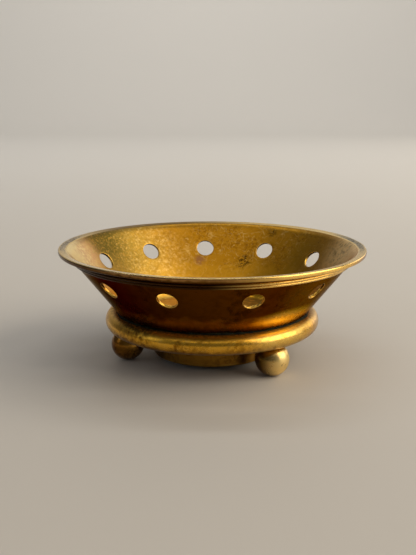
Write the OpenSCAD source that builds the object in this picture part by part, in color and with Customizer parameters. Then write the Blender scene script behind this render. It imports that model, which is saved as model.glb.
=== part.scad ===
// Vented brass bowl on a half-round base ring with three ball feet.
// Units are millimetres. Z is up, the table is z = 0 and the bowl's axis is the Z axis.
// Azimuths are measured from -Y, the front, towards +X.

/* [Bowl] */
// Outside diameter of the lip
lip_d = 120; // [110:1:130]
// Height of the lip's flat top above the table
height = 45; // [43:1:50]
// Width of the lip, from its outer edge to where the bowl's inside starts
lip_w = 3.6; // [3.2:0.1:4.2]
// Thickness of the lip
lip_t = 1.7; // [1.5:0.1:2.1]
// Lean of the straight wall from the vertical, in degrees
flare = 37.9; // [35:0.1:40]
// Thickness of the wall and the floor
wall_t = 1; // [0.8:0.1:1.5]
// Outside radius between the wall and the floor
corner_r = 5; // [4:0.5:6]

/* [Vents] */
// Number of vent holes round the wall
vent_count = 11; // [6:1:16]
// Diameter of a vent hole
vent_d = 7.5; // [5:0.1:9]
// Drop of a vent's centre on the outer wall below the lip's top
vent_drop = 11; // [9:0.5:13]
// Azimuth of the first vent
vent_azimuth = 17.8; // [0:0.1:32]

/* [Base ring] */
// Outside diameter of the base ring
ring_d = 84.9; // [82:0.1:90]
// Radius of the ring's half-round section
ring_section = 3.75; // [3.4:0.05:4.4]
// Height of the ring's flat underside above the table
ring_under = 12; // [11:0.5:14]
// Thickness of the web that carries the bowl's floor
web_t = 3; // [2.6:0.1:4]

/* [Drum] */
// Outside diameter of the drum under the ring
drum_d = 47; // [40:0.5:50]
// Height of the drum's lower edge above the table
drum_clear = 2.2; // [1:0.1:4]
// Thickness of the drum's wall
drum_t = 1.6; // [1.2:0.1:2.4]

/* [Feet] */
// Diameter of a ball foot
ball_d = 13; // [12:0.1:13.6]
// Diameter of the circle that the three ball feet stand on
feet_pcd = 68; // [66:0.5:70]
// Azimuth of the right front foot
foot_azimuth = 41.6; // [0:0.1:90]

/* [Fixings] */
// Thread diameter of the centre screw
screw_d = 5; // [4:0.5:6]
// Thread diameter of a foot stud
stud_d = 4; // [3:0.5:5]

/* [Hidden] */
$fn = 96;

bowl_colour = [0.62, 0.42, 0.14];
ring_colour = [0.76, 0.58, 0.24];
drum_colour = [0.30, 0.20, 0.07];
ball_colour = [0.66, 0.49, 0.20];
fixing_colour = [0.72, 0.60, 0.34];

through = 1;          // how far a cut runs past a face
lip_round = 0.45;     // rounding of the lip's outer edge
lip_level = 1.3;      // level ring along the lip's outer edge
lip_ridge = 3;        // from the outer edge in to the ridge where the bevel starts
lip_fall = 14.5;      // fall of the lip's top from the level ring in to the ridge, in degrees
mouth_fall = 24;      // fall of the bevel from the ridge down to the inside wall, in degrees
reed_r = 0.55;        // two half-round reeds run round the wall, just under the lip
reed_drops = [3.65, 4.75];
edge_round = 0.5;     // rounding of the drum's lower edge

// The vents were marked out by hand: how far each is off its even place, in degrees.
vent_shift = [-0.9, -0.3, 1.5, 2.9, 2.6, 2.3, 0, -0.1, -0.8, -1.6, -3.4];

// The inside of the wall meets the lip's top at this radius, and the wall runs straight from there.
mouth_r = lip_d / 2 - lip_w;
wall_run = tan(flare);
wall_across = wall_t / cos(flare);
function inner_r(z) = mouth_r - (height - z) * wall_run;
function wall_r(z, inset = 0) = inner_r(z) + wall_across - inset / cos(flare);

seat_z = ring_under + web_t;           // underside of the bowl's floor
corner_z = seat_z + corner_r;          // centre of the rounded corner
corner_c = wall_r(corner_z, corner_r);
floor_z = seat_z + wall_t;             // where charcoal or sand rests

vent_z = height - vent_drop;
vent_step = 360 / vent_count;

ring_c = ring_d / 2 - ring_section;
ring_z = ring_under + ring_section;

drum_top_t = 1.8;

// A ball stands on a small worn flat, and a turned collar joins it to the ring.
wear = 0.05;
ball_z = ball_d / 2 - wear;
collar_d = 8;

stud_in_ring = 2.4;
stud_in_ball = 5;
stud_hole_spare = 0.5;

screw_fit = 0.3;      // diametral clearance of the centre screw in plates
head_d = 1.9 * screw_d;
head_h = 0.52 * screw_d;
slot_w = 0.24 * screw_d;
slot_depth = 0.24 * screw_d;
washer_d = 2 * screw_d;
washer_t = 1;
nut_flats = 1.6 * screw_d;
nut_h = 0.8 * screw_d;
screw_spare = 1;      // thread that stands out of the nut

drum_top_z = ring_under - drum_top_t;
washer_z = drum_top_z - washer_t;
nut_z = washer_z - nut_h;

// Places its children at a radius and an azimuth, with +X pointing outwards.
module at_azimuth(azimuth, r = 0) {
    rotate([0, 0, azimuth - 90]) translate([r, 0, 0]) children();
}

module at_foot(turn) {
    at_azimuth(foot_azimuth + turn, feet_pcd / 2) children();
}

// Half-section of the bowl's outside, or of its inside when inset is the wall's thickness.
module bowl_outline(inset, top) {
    tangent_r = corner_c + (corner_r - inset) * cos(flare);
    tangent_z = corner_z - (corner_r - inset) * sin(flare);
    polygon([
        [0, seat_z + inset],
        [corner_c, seat_z + inset],
        [tangent_r, tangent_z],
        [wall_r(top, inset), top],
        [0, top]
    ]);
    intersection() {
        translate([corner_c, corner_z]) circle(corner_r - inset);
        translate([0, seat_z]) square([corner_c + corner_r, corner_r]);
    }
}

module lip_section() {
    low = height - lip_t;
    edge = lip_d / 2;
    root = floor(inner_r(low)) - through; // the inside is turned out of it
    translate([root, low]) square([edge - lip_round - root, lip_t]);
    translate([root, low + lip_round]) square([edge - root, lip_t - 2 * lip_round]);
    for (z = [low + lip_round, height - lip_round])
        translate([edge - lip_round, z]) circle(lip_round);
    for (drop = reed_drops)
        translate([wall_r(height - drop), height - drop]) circle(reed_r);
}

// What is turned off the lip's top: a slight fall from the level ring in to a ridge, and a steeper
// bevel from the ridge to the inside wall.
module mouth_cut() {
    level_r = lip_d / 2 - lip_level;
    ridge_r = lip_d / 2 - lip_ridge;
    ridge_z = height - (level_r - ridge_r) * tan(lip_fall);
    run = (ridge_r - inner_r(ridge_z)) / (1 - tan(mouth_fall) * wall_run);
    foot = [ridge_r - run, ridge_z - run * tan(mouth_fall)];
    polygon([
        [level_r, height],
        [ridge_r, ridge_z],
        foot,
        foot - [through, 0],
        [foot[0] - through, height + through],
        [level_r, height + through]
    ]);
}

module vents() {
    for (i = [0 : vent_count - 1])
        at_azimuth(vent_azimuth + i * vent_step + (i < len(vent_shift) ? vent_shift[i] : 0),
                   wall_r(vent_z))
            translate([0, 0, vent_z])
                rotate([0, 90 + flare, 0])
                    cylinder(h = 8 * wall_t, d = vent_d, center = true);
}

module bowl() {
    color(bowl_colour) difference() {
        rotate_extrude() {
            difference() {
                union() {
                    bowl_outline(0, height - lip_t);
                    lip_section();
                }
                bowl_outline(wall_t, height + through);
                mouth_cut();
            }
        }
        vents();
        translate([0, 0, seat_z - through])
            cylinder(h = wall_t + 2 * through, d = screw_d + screw_fit);
    }
}

// The ring is a turned casting: a half-round rim, and a web inside it that the bowl sits on.
module base_ring() {
    color(ring_colour) difference() {
        rotate_extrude() {
            difference() {
                union() {
                    translate([ring_c, ring_z]) circle(ring_section);
                    translate([0, ring_under]) square([ring_c, ring_section]);
                }
                bowl_outline(0, height);
            }
        }
        translate([0, 0, ring_under - through])
            cylinder(h = web_t + 2 * through, d = screw_d + screw_fit);
        for (turn = [0, 120, 240])
            at_foot(turn) translate([0, 0, ring_under - through])
                cylinder(h = stud_in_ring + through, d = stud_d);
    }
}

// An inverted cup, open below, that covers the nut.
module base_drum() {
    r = drum_d / 2;
    color(drum_colour) difference() {
        rotate_extrude() {
            translate([0, drum_top_z]) square([r, drum_top_t]);
            translate([r - drum_t, drum_clear + edge_round])
                square([drum_t, ring_under - drum_clear - edge_round]);
            translate([r - drum_t + edge_round, drum_clear])
                square([drum_t - 2 * edge_round, edge_round]);
            for (x = [r - drum_t + edge_round, r - edge_round])
                translate([x, drum_clear + edge_round]) circle(edge_round);
        }
        translate([0, 0, drum_top_z - through])
            cylinder(h = drum_top_t + 2 * through, d = screw_d + screw_fit);
    }
}

module ball_foot(turn) {
    color(ball_colour) at_foot(turn) difference() {
        union() {
            translate([0, 0, ball_z]) sphere(d = ball_d);
            translate([0, 0, ball_z]) cylinder(h = ring_under - ball_z, d = collar_d);
        }
        translate([0, 0, -ball_d]) cylinder(h = ball_d, d = ball_d);
        translate([0, 0, ring_under]) cylinder(h = ball_d, d = ball_d);
        translate([0, 0, ring_under - stud_in_ball - stud_hole_spare])
            cylinder(h = ball_d, d = stud_d);
    }
}

module foot_stud(turn) {
    color(fixing_colour) at_foot(turn)
        translate([0, 0, ring_under - stud_in_ball])
            cylinder(h = stud_in_ball + stud_in_ring, d = stud_d);
}

// Round-head slotted screw, its head inside the bowl.
module centre_screw() {
    dome_r = (pow(head_d / 2, 2) + pow(head_h, 2)) / (2 * head_h);
    tip_z = nut_z - screw_spare;
    color(fixing_colour) {
        difference() {
            intersection() {
                translate([0, 0, floor_z + head_h - dome_r]) sphere(dome_r);
                translate([0, 0, floor_z]) cylinder(h = head_h, d = head_d);
            }
            translate([-head_d, -slot_w / 2, floor_z + head_h - slot_depth])
                cube([2 * head_d, slot_w, slot_depth + through]);
        }
        translate([0, 0, tip_z]) cylinder(h = floor_z - tip_z, d = screw_d);
    }
}

module nut_washer() {
    color(fixing_colour) translate([0, 0, washer_z]) difference() {
        cylinder(h = washer_t, d = washer_d);
        translate([0, 0, -through]) cylinder(h = washer_t + 2 * through, d = screw_d + screw_fit);
    }
}

module centre_nut() {
    color(fixing_colour) translate([0, 0, nut_z]) difference() {
        cylinder(h = nut_h, d = nut_flats / cos(30), $fn = 6);
        translate([0, 0, -through]) cylinder(h = nut_h + 2 * through, d = screw_d);
    }
}

bowl();
base_ring();
base_drum();
ball_foot(0);  // ball_foot_right
ball_foot(120);  // ball_foot_rear
ball_foot(240);  // ball_foot_left
foot_stud(0);  // foot_stud_right
foot_stud(120);  // foot_stud_rear
foot_stud(240);  // foot_stud_left
centre_screw();
nut_washer();
centre_nut();
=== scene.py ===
"""Aged brass incense burner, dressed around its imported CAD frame.

Sizes in the classes are millimetres, as on a workshop drawing, and become metres where a mesh is
made. Azimuths run from the front, -Y, towards +X.
"""

import logging
import math
from dataclasses import dataclass, field
from enum import Enum, IntEnum
from typing import Any, Optional, Sequence

import bmesh
import bpy
from mathutils import Matrix, Vector, noise


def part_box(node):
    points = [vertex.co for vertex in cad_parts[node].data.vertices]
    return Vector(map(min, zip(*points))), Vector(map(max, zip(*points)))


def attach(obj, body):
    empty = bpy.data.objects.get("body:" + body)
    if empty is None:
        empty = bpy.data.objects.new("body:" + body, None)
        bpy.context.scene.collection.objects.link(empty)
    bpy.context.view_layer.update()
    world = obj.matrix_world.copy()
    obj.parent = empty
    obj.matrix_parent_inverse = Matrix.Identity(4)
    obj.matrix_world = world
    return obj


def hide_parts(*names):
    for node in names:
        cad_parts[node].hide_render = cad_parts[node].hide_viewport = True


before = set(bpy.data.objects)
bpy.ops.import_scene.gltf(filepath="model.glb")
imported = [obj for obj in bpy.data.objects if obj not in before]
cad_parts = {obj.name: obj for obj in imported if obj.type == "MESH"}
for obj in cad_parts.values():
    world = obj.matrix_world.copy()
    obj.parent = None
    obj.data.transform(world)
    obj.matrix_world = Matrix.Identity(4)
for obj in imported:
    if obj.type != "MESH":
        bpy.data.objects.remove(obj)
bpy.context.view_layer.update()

LOG = logging.getLogger("incense_burner")
MM = 0.001
BODY = "root"
SPACING = 3.0             # mm, rough spacing of the points along a straight stretch
GUARD = 0.1               # mm, spacing of the extra points that keep it flat beside a rounding
WELD = 0.001 * MM         # points closer than this are one
CRISP = math.radians(40)  # edges sharper than this are shaded crisp
FEET = ("right", "rear", "left")

Point = tuple[float, float]
Place = tuple[float, float, float]
Colour = tuple[float, float, float, float]
Mesh = bmesh.types.BMesh
Object = bpy.types.Object
Material = bpy.types.Material
Tree = bpy.types.NodeTree
Socket = bpy.types.NodeSocket


# --------------------------------------------------------------------------- drawing and turning

def polar(radius: float, azimuth: float, height: float) -> Vector:
    """Place a point of the object.

    Args:
        radius: Distance from the axis in millimetres.
        azimuth: Degrees from the front towards +X.
        height: Height above the table in millimetres.

    Returns:
        The point in metres.
    """
    turn = math.radians(azimuth)
    return Vector((radius * math.sin(turn), -radius * math.cos(turn), height)) * MM


def drawn(point: Vector) -> Place:
    """Read a point back as drawing sizes.

    Args:
        point: A point in metres.

    Returns:
        Its radius in millimetres, azimuth in degrees and height in millimetres.
    """
    radius = math.hypot(point.x, point.y) / MM
    return radius, math.degrees(math.atan2(point.x, -point.y)), point.z / MM


@dataclass
class Section:
    """Half of a turned piece's cross-section, drawn as one line of (radius, height) points."""

    points: list[Point] = field(default_factory=list)

    def line(self, end: Point) -> "Section":
        """Draw a straight stretch from the last point.

        Args:
            end: Where the stretch ends.

        Returns:
            The section, so that stretches can be chained.
        """
        if not self.points:
            self.points.append(end)
            return self
        start = self.points[-1]
        length = math.dist(start, end)
        stops = [i * SPACING / length for i in range(1, max(1, round(length / SPACING)))]
        if length > 2.5 * GUARD:
            stops = [GUARD / length, *stops, 1 - GUARD / length]
        for stop in [*stops, 1.0]:
            self.points.append(tuple(a + (b - a) * stop for a, b in zip(start, end)))
        return self

    def arc(self, centre: Point, radius: float, start: float, end: float,
            steps: int) -> "Section":
        """Draw a rounded stretch.

        Args:
            centre: Centre of the rounding.
            radius: Radius of the rounding in millimetres.
            start: Angle of its first point in degrees, from outwards towards up.
            end: Angle of its last point in degrees.
            steps: Number of flats that make it.

        Returns:
            The section, so that stretches can be chained.
        """
        for i in range(steps + 1):
            angle = math.radians(start + (end - start) * i / steps)
            point = (centre[0] + radius * math.cos(angle), centre[1] + radius * math.sin(angle))
            if i or not self.points:
                self.points.append(point)
            else:
                self.line(point)
        return self

    def bend(self, corner: Point, beyond: Point, radius: float, steps: int = 5) -> "Section":
        """Draw up to a corner and round it over.

        Args:
            corner: The sharp corner.
            beyond: A point that the section heads for after the corner.
            radius: Radius of the rounding in millimetres.
            steps: Number of flats that make it.

        Returns:
            The section, so that stretches can be chained.
        """
        tip = Vector(corner)
        back = (Vector(self.points[-1]) - tip).normalized()
        ahead = (Vector(beyond) - tip).normalized()
        half = back.angle(ahead) / 2
        centre = tip + (back + ahead).normalized() * radius / math.sin(half)
        angles = []
        for way in (back, ahead):
            touch = tip + way * radius / math.tan(half) - centre
            angles.append(math.degrees(math.atan2(touch.y, touch.x)))
        sweep = (angles[1] - angles[0] + 180) % 360 - 180
        return self.arc(tuple(centre), radius, angles[0], angles[0] + sweep, steps)


def turned(section: Section, steps: int, start: float = 0.0, closed: bool = True) -> Mesh:
    """Turn a section round the axis, as on a lathe.

    Args:
        section: The half-section.
        steps: Number of columns round the piece.
        start: Azimuth of the first column in degrees.
        closed: Whether the section's last point joins its first.

    Returns:
        A mesh with its faces pointing outwards.
    """
    mesh = bmesh.new()
    verts = [mesh.verts.new(polar(r, start, z)) for r, z in section.points]
    pairs = list(zip(verts, verts[1:] + verts[:1]))
    edges = [mesh.edges.new(pair) for pair in (pairs if closed else pairs[:-1])]
    bmesh.ops.spin(mesh, geom=verts + edges, cent=(0, 0, 0), axis=(0, 0, 1), dvec=(0, 0, 0),
                   angle=2 * math.pi, steps=steps, use_merge=True, use_duplicate=False)
    bmesh.ops.remove_doubles(mesh, verts=mesh.verts, dist=WELD)
    bmesh.ops.recalc_face_normals(mesh, faces=mesh.faces)
    return mesh


def finished(name: str, mesh: Mesh, materials: Sequence[Material], slot: str,
             nodes: Sequence[str] = ()) -> Object:
    """Turn a mesh into a finished piece of the object.

    Args:
        name: The piece's name.
        mesh: Its mesh, in metres and in place. It is freed.
        materials: Its materials, in the order of the faces' indices.
        slot: The record's material slot; it is only written to the log.
        nodes: The CAD nodes that it stands for.

    Returns:
        The piece, riding on the burner's one body.
    """
    data = bpy.data.meshes.new(name)
    for face in mesh.faces:
        face.smooth = True
    for edge in mesh.edges:
        edge.smooth = edge.calc_face_angle(0.0) < CRISP
    mesh.to_mesh(data)
    mesh.free()
    for material in materials:
        data.materials.append(material)
    piece = bpy.data.objects.new(name, data)
    bpy.context.scene.collection.objects.link(piece)
    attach(piece, BODY)
    if nodes:
        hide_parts(*nodes)
    LOG.info("%s: %d faces, slot %s, stands for %s",
             name, len(data.polygons), slot, ", ".join(nodes) or "no node")
    return piece


# --------------------------------------------------------------------------- finishes

def linear(code: str) -> Colour:
    """Turn an sRGB hex colour such as "B5863A" into a linear one with full alpha."""
    parts = [int(code[i:i + 2], 16) / 255 for i in (0, 2, 4)]
    return (*[c / 12.92 if c <= 0.04045 else ((c + 0.055) / 1.055) ** 2.4 for c in parts], 1.0)


def add(tree: Tree, kind: str, links: Optional[dict] = None, **settings: Any) -> bpy.types.Node:
    """Add a shader node.

    Args:
        tree: The material's node tree.
        kind: The node's type name.
        links: Socket name or number to the value or output socket that feeds it.
        settings: Attributes to set on the node first.

    Returns:
        The new node.
    """
    node = tree.nodes.new(kind)
    for name, value in settings.items():
        setattr(node, name, value)
    for key, value in (links or {}).items():
        if isinstance(value, Socket):
            tree.links.new(value, node.inputs[key])
        else:
            node.inputs[key].default_value = value
    return node


def blank_material(name: str) -> tuple[Material, Tree, Socket]:
    """Start a material.

    Args:
        name: The material's name.

    Returns:
        The material, its empty node tree, and the point on the object in metres.
    """
    material = bpy.data.materials.new(name)
    material.use_nodes = True
    tree = material.node_tree
    tree.nodes.clear()
    return material, tree, add(tree, "ShaderNodeTexCoord").outputs["Object"]


class Axis(Enum):
    """What a band on a piece is measured along."""

    HEIGHT = "height"
    RADIUS = "radius"


@dataclass(frozen=True)
class Band:
    """A tone that runs round a piece: dirt in a seam, a rubbed edge, painted shade, a painted
    reflection.

    Attributes:
        colour: sRGB hex colour.
        axis: What the band is measured along.
        start: Where it is still absent, in millimetres.
        full: Where it reaches its full strength, in millimetres.
        strength: How much of the metal it hides.
        rough: Roughness that it adds.
        grain: Size in millimetres of the noise that breaks its edge.
    """

    colour: str
    axis: Axis
    start: float
    full: float
    strength: float
    rough: float = 0.0
    grain: float = 3.0


@dataclass(frozen=True)
class Patch:
    """A local patch: tarnish, painted light, painted shade.

    Attributes:
        colour: sRGB hex colour.
        centre: Its centre in millimetres.
        reach: How far from its centre it fades out, in millimetres.
        strength: How much of the metal it hides.
        rough: Roughness that it adds.
        grain: Size in millimetres of the mottling that breaks it up.
        cover: Share of the patch that the mottling leaves, from 0 to 1.
        flat: How many times wider than high it is.
    """

    colour: str
    centre: Place
    reach: float
    strength: float
    rough: float = 0.0
    grain: float = 5.0
    cover: float = 0.7
    flat: float = 1.0


# A cloud noise keeps to a middle range of its values, so its cover is set within that range.
NOISE_TOP, NOISE_SPAN = 0.72, 0.44
# How slowly the film's clouds fade at their edges, and how the flecks between them compare.
CLOUD_FADE = 0.35
FLECKS_PER_CLOUD, FLECK_COVER, FLECK_SHARE = 6, 0.8, 0.12
# A dark spot's outer and inner radius, in spacings, and how many spacings a cluster spans.
SPOT_EDGE, SPOT_CORE, SPOT_CLUSTER = 0.22, 0.05, 5
# The noise that frays a band's edge: its range, and its reach in widths of the band.
FRAY_RANGE, FRAY_REACH = (0.3, 0.7), 0.45
# Share of a patch's reach that is at full strength, and how softly its mottling fades.
PATCH_CORE, PATCH_FADE = 0.25, 0.25
# Rubbing marks are hairlines too. They are level lines of slow noises, each given by its size in
# millimetres and its level, and are drawn about 0.3 mm wide, as coarse as they need to be to show.
RUBBINGS = ((9.0, 0.5), (7.0, 0.43), (6.0, 0.56), (4.0, 0.46), (3.0, 0.54))
RUBBING_WIDTH = 0.07
# Polishing scratches are hairlines of a few hundredths of a millimetre. They are drawn 6 mm long
# and 0.3 mm wide, as coarse as they need to be to show.
SCRATCH_LENGTH, SCRATCH_WIDTH = 6 * MM, 0.3 * MM
SCRATCH_TURNS, SCRATCH_TILT = (20.0, 75.0, -40.0), 0.6
PIT_SIZE, WAVE_SIZE = 0.9 * MM, 9 * MM


@dataclass(frozen=True)
class AgedBrass:
    """Brass that was turned, polished and then left to tarnish, with painted light and shade in its
    bands and patches.

    Attributes:
        name: The material's name.
        body: sRGB hex colour of the metal.
        dull: sRGB hex colour of the thin brown film that clouds it.
        spot: sRGB hex colour of the small dark spots.
        roughness: Roughness of the clean metal and of the film.
        cloud: Size of the film's clouds in millimetres.
        film: How much of the surface the film covers, from 0 to 1.
        spot_size: Spacing of the dark spots in millimetres.
        spots: How dark the spots are, from 0 to 1.
        turning: Spacing of the lathe's lines in millimetres.
        turning_depth: Depth of the lathe's lines in millimetres.
        scratch_depth: Depth of the polishing scratches in millimetres.
        wave: Depth in millimetres of the slow waves that hand polishing leaves.
        swirl: sRGB hex colour of the curly rubbing marks.
        swirls: How strongly the rubbing marks show, from 0 to 1.
        bands: Tones that run round the piece.
        patches: Local patches of tarnish, painted light and painted shade.
        rims: Tones laid over the patches, such as rubbed edges with painted highlights.
        edge: sRGB hex colour that its mirror light takes at a grazing angle.
        grit: Depth in millimetres of the fine pitting.
    """

    name: str
    body: str
    dull: str
    spot: str
    roughness: tuple[float, float]
    cloud: float = 16.0
    film: float = 0.5
    spot_size: float = 3.0
    spots: float = 0.5
    turning: float = 0.5
    turning_depth: float = 0.002
    scratch_depth: float = 0.004
    wave: float = 0.03
    swirl: str = "F0CC80"
    swirls: float = 0.0
    bands: tuple[Band, ...] = ()
    patches: tuple[Patch, ...] = ()
    rims: tuple[Band | Patch, ...] = ()
    edge: str = "FFFFFF"
    grit: float = 0.0

    def build(self) -> Material:
        """Build the material.

        Returns:
            The finished material.
        """
        material, tree, place = blank_material(self.name)
        height, radius = self.turned_coordinates(tree, place)
        cloud = self.mottling(tree, place, size=self.cloud, cover=self.film,
                              softness=CLOUD_FADE, detail=5.0)
        fleck = self.mottling(tree, place, size=self.cloud / FLECKS_PER_CLOUD,
                              cover=self.film * FLECK_COVER, softness=CLOUD_FADE, detail=3.0)
        film = add(tree, "ShaderNodeMath", {0: cloud, 1: fleck, 2: FLECK_SHARE},
                   operation="MULTIPLY_ADD").outputs[0]
        colour = add(tree, "ShaderNodeMix", {0: film, 6: linear(self.body), 7: linear(self.dull)},
                     data_type="RGBA").outputs[2]
        rough = add(tree, "ShaderNodeMapRange", {
            0: film, 3: self.roughness[0], 4: self.roughness[1]}).outputs[0]
        if self.swirls:
            colour = self.rubbed(tree, place, colour)
        colour = self.spotted(tree, place, colour)
        for tone in (*self.bands, *self.patches, *self.rims):
            if isinstance(tone, Patch):
                mask = self.patch_mask(tree, place, tone)
            else:
                along = height if tone.axis is Axis.HEIGHT else radius
                mask = self.band_mask(tree, place, along, tone)
            colour, rough = self.covered(tree, colour, rough, mask, tone.colour, tone.rough)
        normal = self.relief(tree, place, height, radius)
        shader = add(tree, "ShaderNodeBsdfPrincipled", {
            "Base Color": colour, "Roughness": rough, "Normal": normal, "Metallic": 1.0,
            "Specular Tint": linear(self.edge)})
        add(tree, "ShaderNodeOutputMaterial", {"Surface": shader.outputs[0]})
        return material

    @staticmethod
    def turned_coordinates(tree: Tree, place: Socket) -> tuple[Socket, Socket]:
        """Measure the surface as a turner does.

        Args:
            tree: The material's node tree.
            place: The point on the object, in metres.

        Returns:
            The height and the distance from the axis, both in millimetres.
        """
        in_mm = add(tree, "ShaderNodeVectorMath", {0: place, 3: 1 / MM},
                    operation="SCALE").outputs[0]
        parts = add(tree, "ShaderNodeSeparateXYZ", {0: in_mm})
        flat = add(tree, "ShaderNodeVectorMath", {0: in_mm, 1: (1, 1, 0)},
                   operation="MULTIPLY").outputs[0]
        radius = add(tree, "ShaderNodeVectorMath", {0: flat}, operation="LENGTH").outputs["Value"]
        return parts.outputs["Z"], radius

    @staticmethod
    def mottling(tree: Tree, place: Socket, size: float, cover: float,
                 softness: float, detail: float) -> Socket:
        """Cloud the surface.

        Args:
            tree: The material's node tree.
            place: The point on the object, in metres.
            size: Size of the clouds in millimetres.
            cover: Share of the surface that they cover, from 0 to 1.
            softness: How slowly their edges fade.
            detail: Octaves of noise.

        Returns:
            A mask from 0 to 1.
        """
        clouds = add(tree, "ShaderNodeTexNoise", {
            "Vector": place, "Scale": 1 / (size * MM), "Detail": detail, "Roughness": 0.6,
            "Distortion": 0.4}).outputs[0]
        edge = NOISE_TOP - NOISE_SPAN * cover
        return add(tree, "ShaderNodeMapRange", {
            0: clouds, 1: edge - softness / 2, 2: edge + softness / 2},
            interpolation_type="SMOOTHSTEP").outputs[0]

    def rubbed(self, tree: Tree, place: Socket, colour: Socket) -> Socket:
        """Draw the curly marks that a polishing cloth leaves, as level lines of slow noises.

        Args:
            tree: The material's node tree.
            place: The point on the object, in metres.
            colour: The colour so far.

        Returns:
            The colour with the marks in it.
        """
        for size, level in RUBBINGS:
            slow = add(tree, "ShaderNodeTexNoise", {
                "Vector": place, "Scale": 1 / (size * MM), "Detail": 1.0,
                "Distortion": 0.8}).outputs[0]
            away = add(tree, "ShaderNodeMath", {0: slow, 1: level}, operation="SUBTRACT").outputs[0]
            away = add(tree, "ShaderNodeMath", {0: away}, operation="ABSOLUTE").outputs[0]
            line = add(tree, "ShaderNodeMapRange", {
                0: away, 1: RUBBING_WIDTH / size, 2: 0.0, 4: self.swirls}).outputs[0]
            some = self.mottling(tree, place, size=1.3 * size, cover=0.45, softness=0.2,
                                 detail=2.0)
            mask = add(tree, "ShaderNodeMath", {0: line, 1: some}, operation="MULTIPLY").outputs[0]
            colour = add(tree, "ShaderNodeMix", {0: mask, 6: colour, 7: linear(self.swirl)},
                         data_type="RGBA").outputs[2]
        return colour

    def spotted(self, tree: Tree, place: Socket, colour: Socket) -> Socket:
        """Scatter small dark spots over the metal.

        Args:
            tree: The material's node tree.
            place: The point on the object, in metres.
            colour: The colour so far.

        Returns:
            The colour with the spots in it.
        """
        cells = add(tree, "ShaderNodeTexVoronoi", {
            "Vector": place, "Scale": 1 / (self.spot_size * MM), "Randomness": 1.0})
        dots = add(tree, "ShaderNodeMapRange", {
            0: cells.outputs["Distance"], 1: SPOT_EDGE, 2: SPOT_CORE}).outputs[0]
        some = self.mottling(tree, place, size=SPOT_CLUSTER * self.spot_size, cover=0.35,
                             softness=0.12, detail=2.0)
        mask = add(tree, "ShaderNodeMath", {0: dots, 1: some}, operation="MULTIPLY").outputs[0]
        mask = add(tree, "ShaderNodeMath", {0: mask, 1: self.spots},
                   operation="MULTIPLY").outputs[0]
        return add(tree, "ShaderNodeMix", {0: mask, 6: colour, 7: linear(self.spot)},
                   data_type="RGBA").outputs[2]

    def band_mask(self, tree: Tree, place: Socket, along: Socket, band: Band) -> Socket:
        """Find where a band lies.

        Args:
            tree: The material's node tree.
            place: The point on the object, in metres.
            along: Height or radius in millimetres.
            band: The band.

        Returns:
            A mask from 0 to the band's strength.
        """
        fray = add(tree, "ShaderNodeTexNoise", {
            "Vector": place, "Scale": 1 / (band.grain * MM), "Detail": 4.0}).outputs[0]
        width = band.full - band.start
        shift = add(tree, "ShaderNodeMapRange", {
            0: fray, 1: FRAY_RANGE[0], 2: FRAY_RANGE[1], 3: -width, 4: width}).outputs[0]
        moved = add(tree, "ShaderNodeMath", {0: shift, 1: FRAY_REACH, 2: along},
                    operation="MULTIPLY_ADD").outputs[0]
        return add(tree, "ShaderNodeMapRange", {
            0: moved, 1: band.start, 2: band.full, 4: band.strength},
            interpolation_type="SMOOTHSTEP").outputs[0]

    def patch_mask(self, tree: Tree, place: Socket, patch: Patch) -> Socket:
        """Find where a patch lies.

        Args:
            tree: The material's node tree.
            place: The point on the object, in metres.
            patch: The patch.

        Returns:
            A mask from 0 to the patch's strength.
        """
        offset = add(tree, "ShaderNodeVectorMath", {
            0: place, 1: tuple(c * MM for c in patch.centre)}, operation="SUBTRACT").outputs[0]
        offset = add(tree, "ShaderNodeVectorMath", {
            0: offset, 1: (1, 1, patch.flat)}, operation="MULTIPLY").outputs[0]
        away = add(tree, "ShaderNodeVectorMath", {0: offset}, operation="LENGTH").outputs["Value"]
        near = add(tree, "ShaderNodeMapRange", {
            0: away, 1: patch.reach * MM, 2: PATCH_CORE * patch.reach * MM, 4: patch.strength},
            interpolation_type="SMOOTHSTEP").outputs[0]
        grain = self.mottling(tree, place, size=patch.grain, cover=patch.cover,
                              softness=PATCH_FADE, detail=5.0)
        return add(tree, "ShaderNodeMath", {0: near, 1: grain}, operation="MULTIPLY").outputs[0]

    @staticmethod
    def covered(tree: Tree, colour: Socket, rough: Socket,
                mask: Socket, code: str, rougher: float) -> tuple[Socket, Socket]:
        """Lay one more tone over the metal.

        Args:
            tree: The material's node tree.
            colour: The colour so far.
            rough: The roughness so far.
            mask: Where the tone lies.
            code: sRGB hex colour of the tone.
            rougher: Roughness that the tone adds.

        Returns:
            The new colour and roughness.
        """
        colour = add(tree, "ShaderNodeMix", {0: mask, 6: colour, 7: linear(code)},
                     data_type="RGBA").outputs[2]
        if rougher:
            rough = add(tree, "ShaderNodeMath", {0: mask, 1: rougher, 2: rough},
                        operation="MULTIPLY_ADD", use_clamp=True).outputs[0]
        return colour, rough

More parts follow.
